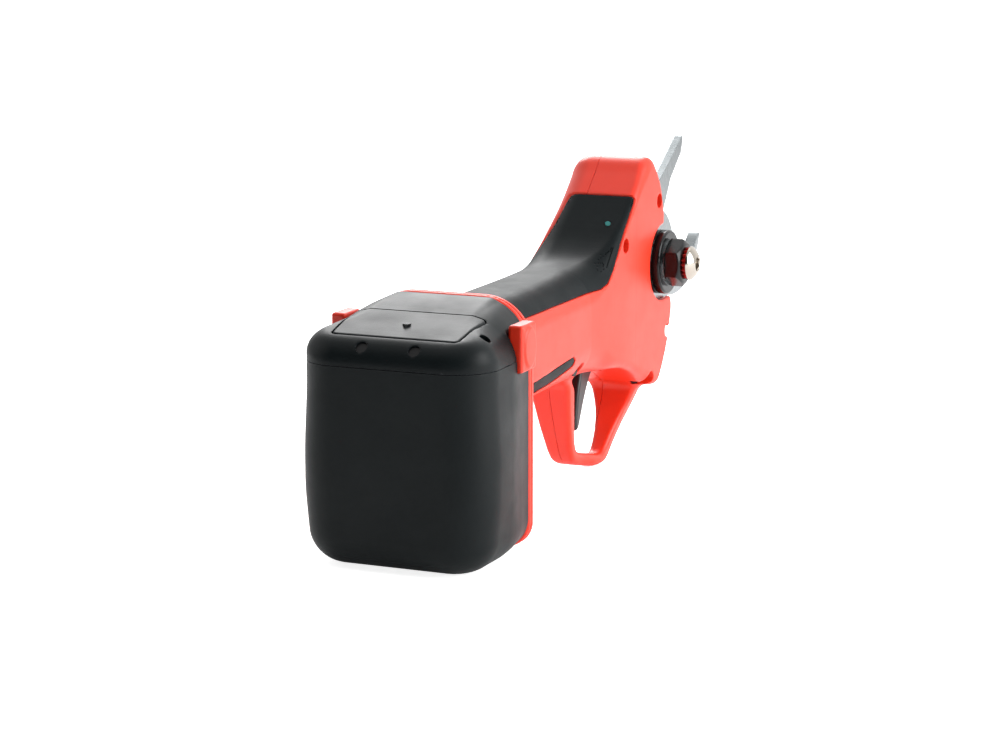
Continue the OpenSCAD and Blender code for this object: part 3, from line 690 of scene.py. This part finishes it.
def cutting_field(x, y, z):
    a, b = y - PIVOT_Y, z - PIVOT_Z
    u = a * math.cos(OPEN) + b * math.sin(OPEN)
    v = -a * math.sin(OPEN) + b * math.cos(OPEN)
    middle, half = (blade_lo[0] + blade_hi[0]) / 2, (blade_hi[0] - blade_lo[0]) / 2
    outline = blade_line(u, v)
    # a bevel up from the edge, on the right side only
    ground = (x - (blade_lo[0] + 0.25) + outline * 0.5) * 0.9
    ground = np.where(v + 0.1 * u < 2.5, ground, -1.0)
    ground = np.where(u > 17, ground, -1.0)
    d = both(outline, np.abs(x - middle) - half, 0.25)
    d = np.maximum(d, ground)
    return without(d, np.hypot(a, b) - BUSH_RADIUS, 0.2)


def hook_field(x, y, z):
    a, b = y - PIVOT_Y, z - PIVOT_Z
    middle, half = (hook_lo[0] + hook_hi[0]) / 2, (hook_hi[0] - hook_lo[0]) / 2
    d = both(hook_line(a, b), np.abs(x - middle) - half, 0.6)
    d = without(d, np.hypot(a, b) - PIN_HOLE, 0.2)
    for cy, cz in HOOK_SCREWS:
        d = without(d, np.hypot(a - cy, b - cz) - HOOK_SCREW_RADIUS)
    return d


surface("cutting_blade_body", cutting_field, (7.9, 177.5, 62.5), (11.5, 243, 126), 0.4, "blade",
        "blade_steel", "cutting_blade", 24)
surface("hook_blade_body", hook_field, (11.6, 177, 41.5), (16.6, 252, 95), 0.5, "handle", "blade_steel",
        "hook_blade", 24)


def angle_at(y, z):
    """Angle around the pivot's axis."""
    return np.arctan2(z - PIVOT_Z, y - PIVOT_Y)


SIXTH = math.pi / 3
STACK_SHARP = 28


def ring_piece(name, node, slot, shape, step, hole):
    """A piece of the pivot's stack, between the ends of its CAD node, with a round hole."""
    lo, hi = node_box(node)

    def field(x, y, z):
        return without(shape(x, y, z, lo[0], hi[0]), radial(y, z) - hole, 0.2)

    surface(name, field, lo - 0.1, hi + 0.1, step, "handle", slot, node, STACK_SHARP)


def disc_shape(x, y, z, x0, x1):
    rr = radial(y, z)
    plate = both(rr - 12.85, both(x0 - x, x - x1), 0.9)
    groove = both(np.abs(x - (x0 + 2.3)) - 0.28, 12.3 - rr)
    return without(plate, groove, 0.15)


def nut_shape(x, y, z, x0, x1):
    a, rr = angle_at(y, z), radial(y, z)
    folded = np.mod(a + SIXTH / 2, SIXTH) - SIXTH / 2
    flats = rr * np.cos(folded) - 8.4
    chamfer = (rr - 9.9 + np.maximum(x - (x1 - 1.6), 0) * 1.4) * 0.58
    return both(both(flats, both(x0 - x, x - x1), 0.45), chamfer, 0.3)


def serrated_shape(x, y, z, x0, x1):
    wave = 0.45 * np.cos(18 * angle_at(y, z))
    return both((radial(y, z) - 5.85 - wave) * 0.8, both(x0 - x, x - x1), 0.2)


ring_piece("thrust_disc_body", "thrust_disc", "stack_black", disc_shape, 0.45, PIN_HOLE)
ring_piece("pivot_nut_body", "pivot_nut", "stack_black", nut_shape, 0.4, PIN_HOLE)
ring_piece("lock_ring_body", "lock_ring", "ring_red", serrated_shape, 0.3, 4.05)
dome_lo, dome_hi = node_box("dome_bolt")
DOME_HEIGHT, DOME_RADIUS = 3.6, 7
SHANK_RADIUS, SOCKET_HALF = 3.94, 2.55
BALL = (DOME_RADIUS * DOME_RADIUS + DOME_HEIGHT * DOME_HEIGHT) / (2 * DOME_HEIGHT)  # the dome's own radius


def dome_field(x, y, z):
    rr = radial(y, z)
    seat = dome_hi[0] - DOME_HEIGHT
    cap = np.sqrt((x - (dome_hi[0] - BALL + 0.25)) ** 2 + rr * rr) - BALL
    cap = both(both(cap, seat - x, 0.35), rr - 6.95, 0.4)
    shank = both(rr - SHANK_RADIUS, both(dome_lo[0] - x, x - seat - 0.5), 0.4)
    a = angle_at(y, z)
    folded = np.mod(a + SIXTH / 2, SIXTH) - SIXTH / 2
    socket = both(rr * np.cos(folded) - SOCKET_HALF, seat + 0.8 - x)
    rim = both(rr - 3.4 + (dome_hi[0] - x) * 0.9, seat - x)
    return without(without(joined(cap, shank), socket, 0.15), rim, 0.1)


surface("dome_bolt_body", dome_field, dome_lo - 0.1, dome_hi + 0.1, 0.3, "handle", "polished_steel",
        "dome_bolt", STACK_SHARP)

# ---------- finishes for the parts kept from the frame ----------

slot_of = {row["node"]: row["material_slot"] for row in frame["record"]["subparts"]}
for name, node in frame["nodes"].items():
    node.data.materials.clear()
    node.data.materials.append(LOOKS[slot_of[name]])

# ---------- studio ----------

scene = bpy.context.scene
scene.view_settings.view_transform = "Standard"
world = bpy.data.worlds.new("studio")
scene.world = world
world.use_nodes = True
sky_nodes, sky_links = world.node_tree.nodes, world.node_tree.links
backdrop = sky_nodes["Background"]
backdrop.inputs["Color"].default_value = (1, 1, 1, 1)
backdrop.inputs["Strength"].default_value = 1.0
fill = sky_nodes.new("ShaderNodeBackground")
fill.inputs["Color"].default_value = (1, 1, 1, 1)
# the far side of the studio is bright and the side behind the camera is dark
toward = sky_nodes.new("ShaderNodeTexCoord")
split = sky_nodes.new("ShaderNodeSeparateXYZ")
sky_links.new(toward.outputs["Generated"], split.inputs[0])
level = sky_nodes.new("ShaderNodeMapRange")
level.interpolation_type = "SMOOTHSTEP"
for key, amount in (("From Min", -0.35), ("From Max", 0.95), ("To Min", 0.02), ("To Max", 1.35)):
    level.inputs[key].default_value = amount
sky_links.new(split.outputs["Y"], level.inputs["Value"])
sky_links.new(level.outputs[0], fill.inputs["Strength"])
seen = sky_nodes.new("ShaderNodeLightPath")
choose = sky_nodes.new("ShaderNodeMixShader")
sky_links.new(seen.outputs["Is Camera Ray"], choose.inputs[0])
sky_links.new(fill.outputs[0], choose.inputs[1])
sky_links.new(backdrop.outputs[0], choose.inputs[2])
sky_links.new(choose.outputs[0], sky_nodes["World Output"].inputs["Surface"])


def area_light(name, place, target, size, power):
    lamp = bpy.data.lights.new(name, "AREA")
    lamp.shape = "RECTANGLE"
    lamp.size, lamp.size_y = size
    lamp.energy = power
    holder = bpy.data.objects.new(name, lamp)
    holder.location = place
    holder.rotation_euler = (Vector(target) - Vector(place)).to_track_quat("-Z", "Y").to_euler()
    scene.collection.objects.link(holder)


area_light("top_soft", (0.0, 0.15, 0.95), (0.0, 0.1, 0.05), (1.2, 1.4), 4)
area_light("right_soft", (1.0, 0.1, 0.5), (0.0, 0.12, 0.07), (0.8, 0.9), 15)
area_light("left_soft", (-0.9, -0.2, 0.55), (0.0, 0.05, 0.06), (0.7, 0.8), 1.5)
area_light("back_soft", (-0.45, 0.95, 0.68), (0.0, 0.0, 0.08), (0.6, 0.45), 7.5)

floor_mesh = bpy.data.meshes.new("floor")
REACH = 6.0
floor_corners = [(-REACH, -REACH, 0), (REACH, -REACH, 0), (REACH, REACH, 0), (-REACH, REACH, 0)]
floor_mesh.from_pydata(floor_corners, [], [(0, 1, 2, 3)])
floor = bpy.data.objects.new("floor", floor_mesh)
floor.location.z = -0.0004  # just under the feet, so that no faces coincide
scene.collection.objects.link(floor)
floor_look = bpy.data.materials.new("floor_white")
floor_look.use_nodes = True
floor_shader = floor_look.node_tree.nodes["Principled BSDF"]
floor_shader.inputs["Base Color"].default_value = (0.96, 0.96, 0.96, 1)
floor_shader.inputs["Roughness"].default_value = 0.9
floor_shader.inputs["Emission Color"].default_value = (1, 1, 1, 1)
floor_tree = floor_look.node_tree
floor_seen = floor_tree.nodes.new("ShaderNodeLightPath")
# the camera sees the floor as white as the backdrop, and the object gets little of that light
floor_level = floor_tree.nodes.new("ShaderNodeMapRange")
floor_level.inputs["To Min"].default_value = 0.12
floor_level.inputs["To Max"].default_value = 0.85
floor_tree.links.new(floor_seen.outputs["Is Camera Ray"], floor_level.inputs["Value"])
floor_tree.links.new(floor_level.outputs[0], floor_shader.inputs["Emission Strength"])
floor_shader.inputs["Specular IOR Level"].default_value = 0.1
floor_mesh.materials.append(floor_look)

# ---------- camera ----------

AZIMUTH, ELEVATION = math.radians(23), math.radians(11)
CAMERA_PLACE = (0.3756, -0.8113, 0.2381)
right = Vector((math.cos(AZIMUTH), math.sin(AZIMUTH), 0))
forward = Vector((-math.sin(AZIMUTH) * math.cos(ELEVATION), math.cos(AZIMUTH) * math.cos(ELEVATION),
                  -math.sin(ELEVATION)))
up = right.cross(forward)
lens = bpy.data.cameras.new("camera")
lens.sensor_width = 36
lens.lens = 95.98
lens.clip_start = 0.01
lens.clip_end = 50
camera = bpy.data.objects.new("camera", lens)
turn = Matrix((right, up, -forward)).transposed()
camera.matrix_world = Matrix.Translation(Vector(CAMERA_PLACE)) @ turn.to_4x4()
scene.collection.objects.link(camera)
scene.camera = camera

bpy.context.view_layer.update()
